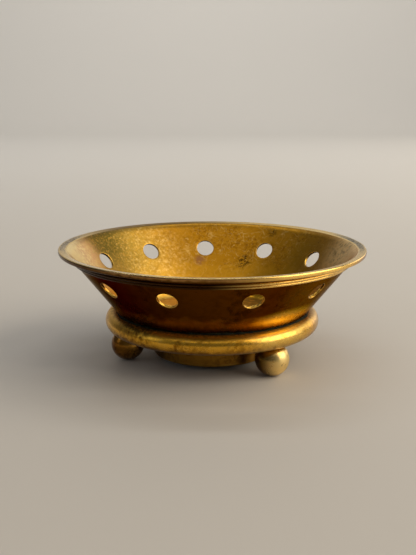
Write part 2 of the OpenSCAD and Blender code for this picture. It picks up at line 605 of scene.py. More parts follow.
    def relief(self, tree: Tree, place: Socket, height: Socket, radius: Socket) -> Socket:
        """Build the fine relief: lathe lines, scratches and polishing waves.

        Args:
            tree: The material's node tree.
            place: The point on the object, in metres.
            height: Height in millimetres.
            radius: Distance from the axis in millimetres.

        Returns:
            The bent normal.
        """
        ring = add(tree, "ShaderNodeCombineXYZ", {"X": radius, "Z": height}).outputs[0]
        lines = add(tree, "ShaderNodeTexNoise", {
            "Vector": ring, "Scale": 1 / self.turning, "Detail": 2.0}).outputs[0]
        normal = add(tree, "ShaderNodeBump", {
            "Height": lines, "Distance": self.turning_depth * MM, "Strength": 1.0}).outputs[0]
        for turn in SCRATCH_TURNS:
            grain = add(tree, "ShaderNodeMapping", {
                "Vector": place,
                "Rotation": [math.radians(a) for a in (turn, turn * SCRATCH_TILT, turn)],
                "Scale": (1 / SCRATCH_LENGTH, 1 / SCRATCH_WIDTH, 1 / SCRATCH_WIDTH)}).outputs[0]
            hair = add(tree, "ShaderNodeTexNoise", {
                "Vector": grain, "Scale": 1.0, "Detail": 1.0}).outputs[0]
            normal = add(tree, "ShaderNodeBump", {
                "Height": hair, "Distance": self.scratch_depth * MM, "Strength": 1.0,
                "Normal": normal}).outputs[0]
        if self.grit:
            pits = add(tree, "ShaderNodeTexNoise", {
                "Vector": place, "Scale": 1 / PIT_SIZE, "Detail": 3.0}).outputs[0]
            normal = add(tree, "ShaderNodeBump", {
                "Height": pits, "Distance": self.grit * MM, "Strength": 1.0,
                "Normal": normal}).outputs[0]
        waves = add(tree, "ShaderNodeTexNoise", {
            "Vector": place, "Scale": 1 / WAVE_SIZE, "Detail": 1.0}).outputs[0]
        return add(tree, "ShaderNodeBump", {
            "Height": waves, "Distance": self.wave * MM, "Strength": 1.0,
            "Normal": normal}).outputs[0]


# What gathers where no cloth reaches: black grime with green verdigris in it and flecks of dried
# polish. It is matt, so it draws each seam as a dark, broken line between the bright metals.
@dataclass(frozen=True)
class SeamCrust:
    """Dried polish and verdigris packed into a seam: chalky, matt and crumbly.

    Attributes:
        name: The material's name.
        dark: sRGB hex colour of the old grime.
        green: sRGB hex colour of the verdigris.
        pale: sRGB hex colour of the dried polish.
        bloom: Size of the verdigris's patches in millimetres.
        fleck: Size of the dried polish's flecks in millimetres.
        crumb: Size of the crumbs that roughen it in millimetres.
        relief: Depth of the crumbs in millimetres.
    """

    name: str = "verdigris_and_dried_polish"
    dark: str = "100E08"
    green: str = "22260E"
    pale: str = "46462A"
    bloom: float = 2.2
    fleck: float = 1.1
    crumb: float = 0.5
    relief: float = 0.25

    def build(self) -> Material:
        """Build the material.

        Returns:
            The finished material.
        """
        material, tree, place = blank_material(self.name)
        green = AgedBrass.mottling(tree, place, size=self.bloom, cover=0.42, softness=0.2,
                                   detail=5.0)
        pale = AgedBrass.mottling(tree, place, size=self.fleck, cover=0.1, softness=0.12,
                                  detail=4.0)
        colour = add(tree, "ShaderNodeMix", {
            0: green, 6: linear(self.dark), 7: linear(self.green)}, data_type="RGBA").outputs[2]
        colour = add(tree, "ShaderNodeMix", {0: pale, 6: colour, 7: linear(self.pale)},
                     data_type="RGBA").outputs[2]
        crumbs = add(tree, "ShaderNodeTexNoise", {
            "Vector": place, "Scale": 1 / (self.crumb * MM), "Detail": 5.0}).outputs[0]
        rough = add(tree, "ShaderNodeMapRange", {0: crumbs, 3: 0.7, 4: 0.98}).outputs[0]
        normal = add(tree, "ShaderNodeBump", {
            "Height": crumbs, "Distance": self.relief * MM}).outputs[0]
        shader = add(tree, "ShaderNodeBsdfPrincipled", {
            "Base Color": colour, "Roughness": rough, "Normal": normal, "Metallic": 0.0,
            "Specular IOR Level": 0.2})
        add(tree, "ShaderNodeOutputMaterial", {"Surface": shader.outputs[0]})
        return material


# Turned brass inside the bowl: satin gold that charcoal heat has browned in clouds, with olive
# tarnish in patches and curly marks that catch the light. The pale mottling at the back left is a
# painted highlight of the window on the right, and the pale patch at the far left is a painted
# reflection of that window. The floor is darker on the right and brighter on the left.
BOWL_INSIDE = AgedBrass(
    name="heat_toned_brass_bowl_inside", body="C88C1C", dull="9A640C", spot="2A1C0A",
    roughness=(0.36, 0.46), cloud=8, film=0.5, spots=0.6, turning_depth=0.004, scratch_depth=0.012,
    wave=0.05, swirl="F0C670", swirls=0.5, grit=0.014,
    bands=(
        Band("8A661A", Axis.HEIGHT, 41.5, 44.2, 0.35, 0.06, 5.0),
        Band("D89C24", Axis.HEIGHT, 31.0, 26.0, 0.6, 0.0, 6.0),
    ),
    patches=(
        Patch("AA8432", (-36, 34, 33), 34, 0.9, 0.0, 8.0, 1.0),
        # Painted highlight: pale mottling where the window on the right lights the back-left wall.
        Patch("F8D080", (-32, 38, 30), 30, 0.5, 0.0, 1.3, 0.32),
        Patch("7A5410", (-28, 40, 34), 32, 0.35, 0.04, 3.0, 0.36),
        Patch("86702C", (-42, 30, 36), 27, 0.7, 0.05, 0.9, 0.62),
        Patch("5A5018", (-46, 27, 42), 15, 0.8, 0.1, 0.9, 0.62),
        Patch("6E5A10", (42, 24, 36), 22, 0.45, 0.06, 6.0, 0.85),
        Patch("D4B478", (54, 4, 42), 22, 0.85, 0.0, 2.0, 0.85),
        Patch("6A5C34", (53, 10, 41), 15, 0.7, 0.08, 1.6, 0.36),
        # Painted reflection of the window on the right, in the far-left wall that faces it.
        Patch("FFE8AC", (-54, -2, 41), 24, 0.98, 0.0, 5.0, 1.0),
        Patch("C88E68", (-50, 10, 40), 13, 0.6, 0.04, 1.6, 0.5),
        Patch("1E1608", (14.2, 41.8, 29.6), 5, 0.95, 0.2, 0.9, 0.42),
        Patch("3A2A0A", (27, 46.6, 41.8), 3, 0.8, 0.1, 1.2, 0.5),
        Patch("7A4A50", (-5.5, 43.8, 30), 3.5, 0.5, 0.0, 1.2, 0.8),
        Patch("6E5010", (4, -14, 16), 27, 0.6, 0.1, 5.0, 0.5),
        Patch("5E4808", (21, 22, 16), 19, 0.8, 0.1, 2.0, 0.74),
        Patch("E4B654", (-21, 20, 16), 17, 0.6, 0.0, 2.0, 0.7),
    ))

# The lip's top is rubbed by lids and fingers: its edges are worn pale and bright, and painted
# highlights are laid on their roundings; the fall between them is grey and pitted where fingers
# don't reach. Its front left is worn whitish and whitened further as a painted reflection of the
# pale wall. Heat has browned it at the back.
BOWL_LIP = AgedBrass(
    name="rubbed_brass_lip_with_painted_highlights", body="E6C67C", dull="B8985A", spot="3A2A14",
    roughness=(0.26, 0.4), cloud=6, film=0.4, spot_size=1.0, spots=0.85, turning_depth=0.003,
    scratch_depth=0.006, grit=0.012,
    patches=(
        Patch("B8A890", (-58, 4, 45), 26, 0.9, 0.08, 4.0, 0.95),
        Patch("98907C", (58, 8, 45), 26, 0.9, 0.08, 4.0, 0.95),
        # Worn whitish, and whitened further as a painted reflection of the pale wall at a grazing
        # angle.
        Patch("E8DECC", (-36, -46, 45), 36, 0.8, 0.0, 5.0, 1.0),
        Patch("3C3424", (-58, 2, 45), 28, 0.9, 0.1, 0.9, 0.45),
        Patch("3C3424", (58, 4, 45), 28, 0.9, 0.1, 0.9, 0.45),
    ),
    rims=(
        # The ridge and the outer edge: rubbed bright, with painted highlights on their roundings.
        Band("E6C67C", Axis.RADIUS, 57.5, 57.1, 1.0, -0.1, 2.0),
        Band("E6C67C", Axis.RADIUS, 59.1, 59.4, 0.8, -0.1, 2.0),
        Patch("7E601C", (-30, 51, 44.6), 54, 0.97, 0.0, 6.0, 1.0),
    ))

# The outside has never been polished since it browned: a thin, dark, still glossy oxide. Its
# colour is darkened further as painted shade, standing in for the dark table that it would mirror.
# The orange glow next to the ring is a painted reflection of the ring's crown, the front right is
# painted lighter where the window lights it, and the left is painted darker.
BOWL_OUTSIDE = AgedBrass(
    name="brown_oxide_and_painted_shade_bowl_outside", body="623810", dull="422406", spot="120A04",
    roughness=(0.2, 0.3), cloud=18, film=0.55, spots=0.5, turning_depth=0.004, scratch_depth=0.003,
    edge="B49C78",
    bands=(
        # Painted reflection of the ring's lit crown in the wall just above it.
        Band("A87020", Axis.HEIGHT, 27.0, 23.5, 0.6, 0.0, 4.0),
        Band("1C1608", Axis.HEIGHT, 20.7, 19.6, 0.85, 0.3, 2.0),
    ),
    patches=(
        # Painted light on the front right, where the window lights the wall.
        Patch("9A7A44", (42, -30, 34), 27, 0.65, 0.06, 2.0, 0.85),
        # Painted highlight: a flat band of the ring's reflected light low on the front right.
        Patch("FFD468", (30, -31, 24.0), 20, 0.95, 0.0, 3.0, 0.95, 4.0),
        # Painted shade: darker on the left, away from the window.
        Patch("2E1A08", (-38, -22, 30), 22, 0.5, 0.0, 8.0, 0.9),
    ))

# The lip's edge and the two reeds under it: their colour is painted light and shade. The brown
# body is painted shade, standing in for the dark room that they would mirror; the front right and
# the right are painted gold as the window's highlight and the left darker, the edge's upper part is
# a painted reflection of the window, and the band under it is painted shade under the lip.
BOWL_REEDS = AgedBrass(
    name="brass_edge_and_reeds_painted_light", body="6A4814", dull="4A2E0A", spot="1A0E06",
    roughness=(0.2, 0.3), cloud=8, film=0.5, spots=0.4, wave=0.0,
    bands=(
        # Painted reflection of the window on the edge's upper part, then painted shade under the
        # lip.
        Band("B0804C", Axis.HEIGHT, 43.6, 44.5, 0.8, 0.0, 3.0),
        Band("301806", Axis.HEIGHT, 43.4, 42.4, 0.85, 0.0, 3.0),
    ),
    patches=(
        # Painted highlight of the window on the front right and right; painted shade on the left.
        Patch("FFD070", (34, -44, 42), 38, 0.97, 0.0, 3.0, 1.0),
        Patch("B08838", (58, 10, 43), 26, 0.8, 0.0, 3.0, 0.9),
        Patch("3A2408", (-46, -26, 44), 42, 0.7, 0.0, 3.0, 0.95),
    ))

# A vent's broken edge is rubbed with the wall round it, and its pale gold also paints the bright
# crescent that the window lights on it.
VENT_EDGE = AgedBrass(
    name="rubbed_and_painted_highlight_vent_edge", body="E8BC60", dull="A87C30", spot="3A2A14",
    roughness=(0.24, 0.36), cloud=3, film=0.4, spots=0.3, scratch_depth=0.002, wave=0.0)

# A vent's drilled wall keeps its gold below and is dark above: partly soot where smoke licks out
# of it, partly painted shade on the upper wall, which faces down.
VENT_WALL = AgedBrass(
    name="sooted_and_painted_shade_vent_wall", body="D8A848", dull="9A7028", spot="3A2A14",
    roughness=(0.24, 0.36), cloud=3, film=0.4, spots=0.3, scratch_depth=0.002, wave=0.0,
    bands=(
        # Soot and painted shade on the downward-facing top of the drilled wall.
        Band("1A1006", Axis.HEIGHT, 33.8, 35.2, 0.96, 0.3, 1.5),
    ))

# Hands and polish reach the ring, so it is a satin yellow between brown streaks. Its crown is
# painted brighter and rougher for the front light, its front right and right end carry painted
# highlights, and its underside is painted darker as shade.
RING_BRASS = AgedBrass(
    name="hand_polished_brass_ring", body="EAB038", dull="94600C", spot="2A1C0A",
    roughness=(0.24, 0.36), cloud=10, film=0.55, spots=0.7, turning_depth=0.003,
    scratch_depth=0.008, wave=0.04, swirl="F0D080", swirls=0.2,
    bands=(
        # Painted highlight: the crown brighter and rougher, standing in for the front light that it
        # catches.
        Band("F0C04C", Axis.HEIGHT, 17.6, 18.6, 0.6, 0.16, 3.0),
        Band("2A200A", Axis.HEIGHT, 18.9, 19.6, 0.6, 0.2, 1.4),
        # Painted shade on the underside, standing in for the dark table that it would mirror.
        Band("5A380E", Axis.HEIGHT, 15.2, 12.6, 0.75, 0.05, 6.0),
    ),
    patches=(
        # Painted highlight: the pale reflection of the light on the ring's right end.
        Patch("D4B688", (43, -4, 16), 18, 0.65, 0.0, 3.0, 0.85),
        Patch("E0B040", (-41, -10, 16), 16, 0.6, 0.0, 3.0, 0.8),
        Patch("3A2C10", (-26, -28, 19.5), 15, 0.8, 0.2, 1.6, 0.62, 3.0),
        # Painted highlight of the window on the ring's front right.
        Patch("F0CC70", (27, -32, 17), 20, 0.6, 0.0, 2.5, 0.8),
    ))

# The drum sits under the ring where nothing rubs it: dark brown tarnish, darkened further as
# painted shade, standing in for the ring's shade and the dark table that it would mirror. It is
# paler along its lower edge.
DRUM_BRASS = AgedBrass(
    name="tarnished_and_painted_shade_brass_drum", body="8E6622", dull="58380E", spot="1A0E06",
    roughness=(0.3, 0.44), cloud=10, film=0.5, spots=0.5, turning_depth=0.005,
    bands=(
        Band("A8843C", Axis.HEIGHT, 3.2, 2.4, 0.7, 0.0, 4.0),
    ))

# The balls are polished by handling: a smooth warm gold. Their lower part is painted darker as
# shade, standing in for the dark table that they would mirror; the right ball is painted dark on
# its left with a painted highlight on its right, and the left ball is painted darker.
BALL_BRASS = AgedBrass(
    name="polished_brass_ball", body="C8963E", dull="724C12", spot="2A1C0A",
    roughness=(0.17, 0.28), cloud=6, film=0.6, spots=0.6, scratch_depth=0.006, wave=0.03,
    bands=(
        # Painted shade on the lower part of each ball.
        Band("4A300E", Axis.HEIGHT, 5.0, 0.6, 0.8, 0.1, 3.0),
    ),
    patches=(
        # Painted shade on the right ball's left and on the left ball, and a painted highlight on
        # the right ball's right.
        Patch("3E280A", (17.5, -29.5, 6), 8, 0.75, 0.0, 3.0, 0.9),
        Patch("6A3C0C", (-37, -12, 7), 8, 0.75, 0.0, 3.0, 0.9),
        Patch("FFE094", (28.6, -29.5, 4.6), 11, 0.95, 0.15, 1.6, 0.85),
    ))

# Screw, nut, washer and studs are stock brass straight from the lathe: a flat, dull yellow.
FIXING_BRASS = AgedBrass(
    name="dull_machined_brass_fixing", body="B08C4A", dull="7A5A28", spot="2A1C0A",
    roughness=(0.32, 0.46), cloud=3, film=0.5, spots=0.5, wave=0.01)


# --------------------------------------------------------------------------- the bowl

# How near to a border of a finish a face still counts as inside it, in millimetres, and how far
# up a face has to point, as the upward part of its normal.
RIDGE_SLACK, LIP_SLACK, WALL_SLACK = 0.2, 0.02, 0.1
LIP_TILT, FLOOR_TILT = 0.6, 0.5


class BowlFace(IntEnum):
    """Which finish a face of the bowl has."""

    INSIDE = 0
    LIP = 1
    OUTSIDE = 2
    VENT = 3
    REED = 4
    VENT_RIM = 5


@dataclass
class Bowl:
    """The flared bowl, turned in one piece and drilled with vents.

    Attributes:
        lip_radius: Outer radius of the lip.
        height: Height of the lip's top above the table.
        lip_width: Lip's outer edge to where the inside starts.
        lip_thickness: Thickness of the lip.
        flare: Lean of the wall from the vertical, in degrees.
        wall: Thickness of the wall and the floor.
        seat: Height of the floor's underside.
        corner: Outside radius between wall and floor.
        lip_rounding: Rounding of the lip's outer edge.
        level_rounding: Rounding between the level ring and the fall.
        ridge_rounding: Rounding of the ridge.
        foot_rounding: Rounding where the bevel runs out into the inside wall.
        lip_level: Width of the level ring along the lip's outer edge.
        lip_ridge: Lip's outer edge to the ridge where the bevel starts.
        lip_fall: Fall of the lip's top from the level ring in to the ridge, in degrees.
        mouth_fall: Fall of the bevel from the ridge to the inside wall, in degrees.
        reed: Radius of the reeds under the lip.
        reed_drops: Lip's top to each reed's centre, from the lowest reed up.
        screw_hole: Radius of the hole in the floor.
        vents: Number of vents.
        vent_radius: Radius of a vent.
        vent_drop: Lip's top to a vent's centre on the outer wall.
        vent_azimuth: Azimuth of the first vent's even place.
        vent_shift: How far each vent is off its even place, in degrees. They are marked by hand.
        tile: Columns of faces from one vent to the next.
        row: Spacing of the rows of faces on the wall.
        hole: Half the columns and rows that a vent takes out.
        pull: How far each ring of points round a vent is drawn to its circle, from the hole out.
        skin: How near to a surface of the wall a point counts as on it.
        vent_break: Size of the bevel that breaks a vent's edges.
    """

    lip_radius: float
    height: float
    lip_width: float = 3.6
    lip_thickness: float = 1.7
    flare: float = 37.9
    wall: float = 1.0
    seat: float = 15.0
    corner: float = 5.0
    lip_rounding: float = 0.6
    level_rounding: float = 1.2
    ridge_rounding: float = 0.5
    foot_rounding: float = 5.0
    lip_level: float = 1.3
    lip_ridge: float = 3.0
    lip_fall: float = 14.5
    mouth_fall: float = 24.0
    reed: float = 0.55
    reed_drops: tuple[float, ...] = (4.75, 3.65)
    screw_hole: float = 2.65
    vents: int = 11
    vent_radius: float = 3.75
    vent_drop: float = 11.0
    vent_azimuth: float = 17.8
    vent_shift: tuple[float, ...] = (-0.9, -0.3, 1.5, 2.9, 2.6, 2.3, 0, -0.1, -0.8, -1.6, -3.4)
    tile: int = 32
    row: float = 0.9
    hole: int = 4
    pull: tuple[float, ...] = (1.0, 0.6, 0.25)
    skin: float = 0.05
    vent_break: float = 0.15

    def __post_init__(self) -> None:
        """Work out the wall's directions, its corner, the vents' centre and the bevel's edges."""
        lean = math.radians(self.flare)
        self.up = (math.sin(lean), math.cos(lean))
        self.out = (math.cos(lean), -math.sin(lean))
        self.mouth = self.lip_radius - self.lip_width
        self.vent_height = self.height - self.vent_drop
        self.vent_centre = self.outer_radius(self.vent_height)
        corner_z = self.seat + self.corner
        self.corner_centre = (self.outer_radius(corner_z) - self.corner / self.up[1], corner_z)
        fall = math.tan(math.radians(self.mouth_fall))
        lip_fall = math.tan(math.radians(self.lip_fall))
        ridge_z = self.height - (self.lip_ridge - self.lip_level) * lip_fall
        self.ridge = (self.lip_radius - self.lip_ridge, ridge_z)
        inside = self.outer_radius(ridge_z) - self.wall / self.up[1]
        run = (self.ridge[0] - inside) / (1 - fall * self.up[0] / self.up[1])
        self.bevel_foot = (self.ridge[0] - run, ridge_z - run * fall)

    def outer_radius(self, height: float) -> float:
        """Return the outer wall's radius at a height, both in millimetres."""
        inside = self.mouth - (self.height - height) * self.up[0] / self.up[1]
        return inside + self.wall / self.up[1]

    def on_wall(self, slope: float, inset: float) -> Point:
        """Find a point on the wall.

        Args:
            slope: Distance up the wall from the vents' centres.
            inset: Depth below the outer surface.

        Returns:
            The point's radius and height.
        """
        return (self.vent_centre + slope * self.up[0] - inset * self.out[0],
                self.vent_height + slope * self.up[1] - inset * self.out[1])

    def off_vent(self, radius: float, height: float) -> Point:
        """Measure a point against the vents' centres.

        Args:
            radius: The point's radius.
            height: The point's height.

        Returns:
            Its distance up the wall and its depth below the outer surface.
        """
        across, rise = radius - self.vent_centre, height - self.vent_height
        return (across * self.up[0] + rise * self.up[1],
                -(across * self.out[0] + rise * self.out[1]))

    def wall_rows(self, low: float, high: float, inset: float) -> list[Point]:
        """List the wall's points that lie on whole rows.

        Args:
            low: Height where the straight wall starts.
            high: Height where it ends.
            inset: Depth below the outer surface.

        Returns:
            The points, from the bottom up.
        """
        spare = 0.4 * self.row
        reach = round(self.height / self.row)
        points = [self.on_wall(i * self.row, inset) for i in range(-reach, reach)]
        return [p for p in points if low + spare < p[1] < high - spare]

    def section(self) -> Section:
        """Draw the bowl's half-section.

        Returns:
            The closed section, from the hole in the floor out, over the lip and back.
        """
        lean, corner = self.flare, self.corner_centre
        inner = self.corner - self.wall
        low = self.height - self.lip_thickness
        level = (self.lip_radius - self.lip_level, self.height)
        section = Section([(self.screw_hole, self.seat)])
        section.line((corner[0], self.seat)).arc(corner, self.corner, -90, -lean, steps=7)
        for drop in self.reed_drops:
            reed = (self.outer_radius(self.height - drop), self.height - drop)
            section.points += self.wall_rows(section.points[-1][1], reed[1] - self.reed, 0.0)
            section.arc(reed, self.reed, -90 - lean, 90 - lean, steps=9)
        section.line((self.outer_radius(low), low))
        section.bend((self.lip_radius, low), (self.lip_radius, self.height), self.lip_rounding)
        section.bend((self.lip_radius, self.height), level, self.lip_rounding)
        section.bend(level, self.ridge, self.level_rounding, steps=3)
        section.bend(self.ridge, self.bevel_foot, self.ridge_rounding, steps=3)
        down_wall = (self.bevel_foot[0] - self.up[0], self.bevel_foot[1] - self.up[1])
        section.bend(self.bevel_foot, down_wall, self.foot_rounding, steps=7)
        foot = corner[1] - inner * self.up[0]
        section.points += self.wall_rows(foot, section.points[-1][1], self.wall)[::-1]
        section.arc(corner, inner, -lean, -90, steps=7)
        section.line((self.screw_hole, self.seat + self.wall))
        return section

    def grid_place(self, point: Vector) -> tuple[int, float, float, float]:
        """Place a point on the wall's grid of columns and rows.

        Args:
            point: A point in metres.

        Returns:
            The number of the nearest vent, the columns and rows from its centre, and the depth
            below the outer surface in millimetres.
        """
        radius, azimuth, height = drawn(point)
        slope, depth = self.off_vent(radius, height)
        columns = ((azimuth - self.vent_azimuth) % 360) * self.tile * self.vents / 360
        vent = round(columns / self.tile)
        return vent % self.vents, columns - vent * self.tile, slope / self.row, depth

    def drilled_point(self, vent: int, columns: float, rows: float, depth: float) -> Vector:
        """Move a grid point near a vent on to the drilled circle.

        Args:
            vent: Number of the vent.
            columns: Columns from the vent's centre.
            rows: Rows from the vent's centre.
            depth: Depth below the outer surface, in millimetres.

        Returns:
            The moved point in metres.
        """
        ring = max(abs(columns), abs(rows))
        if abs(columns) >= abs(rows):
            angle = math.pi / 4 * rows / columns + (math.pi if columns < 0 else 0)
        else:
            angle = math.pi / 2 - math.pi / 4 * columns / rows + (math.pi if rows < 0 else 0)
        share = self.pull[round(ring) - self.hole]
        reach = self.vent_radius * ring / self.hole
        column = math.radians(360 / (self.tile * self.vents)) * self.vent_centre
        side = columns * column * (1 - share) + reach * math.cos(angle) * share
        rise = rows * self.row * (1 - share) + reach * math.sin(angle) * share
        # The drill runs along the wall's normal. The wall curves away from it sideways, so the
        # depth is found by rounds, and four settle it to far less than a micrometre.
        fall = depth
        for _ in range(4):
            radius, height = self.on_wall(rise, fall)
            off = math.hypot(radius, side) - self.outer_radius(height) + depth / self.up[1]
            fall += off * self.up[1]
        radius, height = self.on_wall(rise, fall)
        azimuth = (self.vent_azimuth + vent * 360 / self.vents + self.vent_shift[vent]
                   + math.degrees(math.atan2(side, radius)))
        return polar(math.hypot(radius, side), azimuth, height)

    def hand_turn(self, point: Vector) -> float:
        """Find how far the marking-out moves a point round the axis.

        Args:
            point: A point of the evenly divided bowl, in metres.

        Returns:
            The turn in degrees. It is the same all over a vent, and grades from one to the next.
        """
        columns = ((drawn(point)[1] - self.vent_azimuth) % 360) * self.tile * self.vents / 360
        vent, across = int(columns // self.tile) % self.vents, columns % self.tile
        edge = self.hole + len(self.pull)
        share = min(1.0, max(0.0, (across - edge) / (self.tile - 2 * edge)))
        here, there = self.vent_shift[vent], self.vent_shift[(vent + 1) % self.vents]
        return here + (there - here) * share

    def drill(self, mesh: Mesh) -> None:
        """Drill the vents: take out a square of faces, round it and join both sides.

        Args:
            mesh: The turned bowl.
        """
        def on_skin(depth: float) -> bool:
            """Tell whether a depth is that of the outer or the inner surface."""
            return min(abs(depth), abs(depth - self.wall)) < self.skin

        places = {v: self.grid_place(v.co) for v in mesh.verts}
        cut = []
        for face in mesh.faces:
            _, columns, rows, depth = self.grid_place(face.calc_center_median())
            if on_skin(depth) and abs(columns) < self.hole and abs(rows) < self.hole:
                cut.append(face)
        bmesh.ops.delete(mesh, geom=cut, context="FACES")
        for vert in mesh.verts:
            vert.co.rotate(Matrix.Rotation(math.radians(self.hand_turn(vert.co)), 3, "Z"))
        for vert in [v for v in mesh.verts if on_skin(places[v][3])]:
            vent, columns, rows, depth = places[vert]
            columns, rows = round(columns), round(rows)
            if 0 <= max(abs(columns), abs(rows)) - self.hole < len(self.pull):
                depth = self.wall if depth > self.wall / 2 else 0.0
                vert.co = self.drilled_point(vent, columns, rows, depth)
        rims = [[] for _ in range(self.vents)]
        for edge in [e for e in mesh.edges if e.is_boundary]:
            rims[places[edge.verts[0]][0]].append(edge)
        for rim in rims:
            made = bmesh.ops.bridge_loops(mesh, edges=rim)
            for face in made["faces"]:
                face.material_index = BowlFace.VENT
        made = bmesh.ops.bevel(
            mesh, geom=[e for rim in rims for e in rim], offset=self.vent_break * MM,
            offset_type="OFFSET", segments=2, profile=0.5, affect="EDGES", clamp_overlap=True,
            material=-1)
        for face in made["faces"]:
            face.material_index = BowlFace.VENT_RIM
        bmesh.ops.recalc_face_normals(mesh, faces=mesh.faces)

    def face_finish(self, face: bmesh.types.BMFace) -> BowlFace:
        """Choose the finish of a face from where it is and where it points.

        Args:
            face: A face of the drilled bowl.

        Returns:
            Its finish.
        """
        if face.material_index in (BowlFace.VENT, BowlFace.VENT_RIM):
            return BowlFace(face.material_index)
        radius, azimuth, height = drawn(face.calc_center_median())
        outwards = face.normal.dot(polar(1, azimuth, 0) / MM)
        under_lip = self.height - self.lip_thickness - LIP_SLACK
        if radius > self.ridge[0] - RIDGE_SLACK and height > under_lip:
            return BowlFace.LIP if face.normal.z > LIP_TILT else BowlFace.REED
        within = radius < self.outer_radius(height) - WALL_SLACK
        if outwards < 0 or (within and face.normal.z > FLOOR_TILT):
            return BowlFace.INSIDE
        if any(abs(self.height - drop - height) < self.reed for drop in self.reed_drops):
            return BowlFace.REED
        return BowlFace.OUTSIDE

    def build(self) -> Object:
        """Build the bowl.

        Returns:
            The finished piece.
        """
        mesh = turned(self.section(), self.tile * self.vents, self.vent_azimuth)
        self.drill(mesh)
        for face in mesh.faces:
            face.material_index = self.face_finish(face)
        finishes = {BowlFace.INSIDE: BOWL_INSIDE, BowlFace.LIP: BOWL_LIP,
                    BowlFace.OUTSIDE: BOWL_OUTSIDE, BowlFace.VENT: VENT_WALL,
                    BowlFace.REED: BOWL_REEDS, BowlFace.VENT_RIM: VENT_EDGE}
        materials = [finishes[kind].build() for kind in BowlFace]
        return finished("vented_bowl", mesh, materials, "bowl_brass", ["bowl"])


# --------------------------------------------------------------------------- the base

@dataclass
class BaseRing:
    """The half-round ring and the web inside it.

    Attributes:
        radius: Outer radius of the ring.
        under: Height of its flat underside.
        bowl: The bowl that it carries.
        half_round: Radius of the half-round section.
        web: Thickness of the web.
        seat_gap: Gap between the ring and the bowl's wall.
        flats: Flats that make the half-round.
        steps: Columns round the ring.
    """

    radius: float
    under: float
    bowl: Bowl
    half_round: float = 3.75
    web: float = 3.0
    seat_gap: float = 0.06
    flats: int = 36
    steps: int = 264

    def section(self) -> Section:
        """Draw the ring's half-section.

        Returns:
            The closed section, from the screw's hole out, over the rim and back along the seat.
        """
        bowl = self.bowl
        centre = (self.radius - self.half_round, self.under + self.half_round)
        # The bowl's wall crosses the half-round just inside its crown, found by quarter degrees.
        angle = 90.0
        while True:
            height = centre[1] + self.half_round * math.sin(math.radians(angle))
            radius = centre[0] + self.half_round * math.cos(math.radians(angle))
            if radius <= bowl.outer_radius(height) + self.seat_gap:
                break
            angle += 0.25
        top, corner = self.under + self.web, bowl.corner_centre
        section = Section([(bowl.screw_hole, self.under)])
        section.line((centre[0], self.under)).arc(centre, self.half_round, -90, angle, self.flats)
        section.arc(corner, bowl.corner + self.seat_gap, -bowl.flare, -90, steps=7)
        return section.line((corner[0], top)).line((bowl.screw_hole, top))

    def build(self) -> Object:
        """Build the ring and return the finished piece."""
        return finished("half_round_base_ring", turned(self.section(), self.steps),
                        [RING_BRASS.build()], "ring_brass", ["base_ring"])


@dataclass
class BaseDrum:
    """The inverted cup under the ring.

    Attributes:
        radius: Outer radius.
        low: Height of its lower edge.
        top: Height of its top face.
        wall: Thickness of its wall.
        plate: Thickness of its top.
        edge: Rounding of its lower edge.
        fillet: Rounding between its wall and its top, inside.
        hole: Radius of the screw's hole.
        steps: Columns round the drum.
    """

    radius: float
    low: float
    top: float
    wall: float = 1.6
    plate: float = 1.8
    edge: float = 0.5
    fillet: float = 1.0
    hole: float = 2.65
    steps: int = 192

    def build(self) -> Object:
        """Build the drum.

        Returns:
            The finished piece.
        """
        inner = self.radius - self.wall
        under = self.top - self.plate
        section = Section([(self.hole, under)])
        section.line((inner - self.fillet, under))
        section.arc((inner - self.fillet, under - self.fillet), self.fillet, 90, 0, steps=5)
        section.line((inner, self.low + self.edge))
        for centre, start in ((inner + self.edge, 180), (self.radius - self.edge, 270)):
            section.arc((centre, self.low + self.edge), self.edge, start, start + 90, steps=5)
        section.line((self.radius, self.top)).line((self.hole, self.top))
        mesh = turned(section, self.steps)
        return finished("base_drum_cup", mesh, [DRUM_BRASS.build()], "drum_brass", ["base_drum"])


@dataclass
class BallFoot:
    """A turned ball foot with a short collar.

    Attributes:
        side: Where it stands: right, rear or left.
        centre: Place of its axis in metres.
        top: Height of the ring's underside.
        radius: Radius of the ball.
        wear: Depth of the flat worn under it.
        collar: Radius of the collar.
        flats: Flats that make its profile.
        steps: Columns round the ball.
    """

    side: str
    centre: Vector
    top: float
    radius: float = 6.5
    wear: float = 0.05
    collar: float = 4.0
    flats: int = 40
    steps: int = 96

    def build(self, material: Material) -> Object:
        """Build the foot.

        Args:
            material: The balls' shared finish.

        Returns:
            The finished piece.
        """
        middle = self.radius - self.wear
        flat = math.degrees(math.acos(1 - self.wear / self.radius))
        neck = math.degrees(math.acos(self.collar / self.radius))
        section = Section([(0.0, 0.0)])
        section.arc((0.0, middle), self.radius, flat - 90, neck, self.flats)
        section.line((self.collar, self.top)).line((0.0, self.top))
        mesh = turned(section, self.steps, closed=False)
        bmesh.ops.translate(mesh, verts=mesh.verts, vec=self.centre)
        return finished(f"{self.side}_ball_foot", mesh, [material], "foot_brass",
                        [f"ball_foot_{self.side}"])


# --------------------------------------------------------------------------- seams

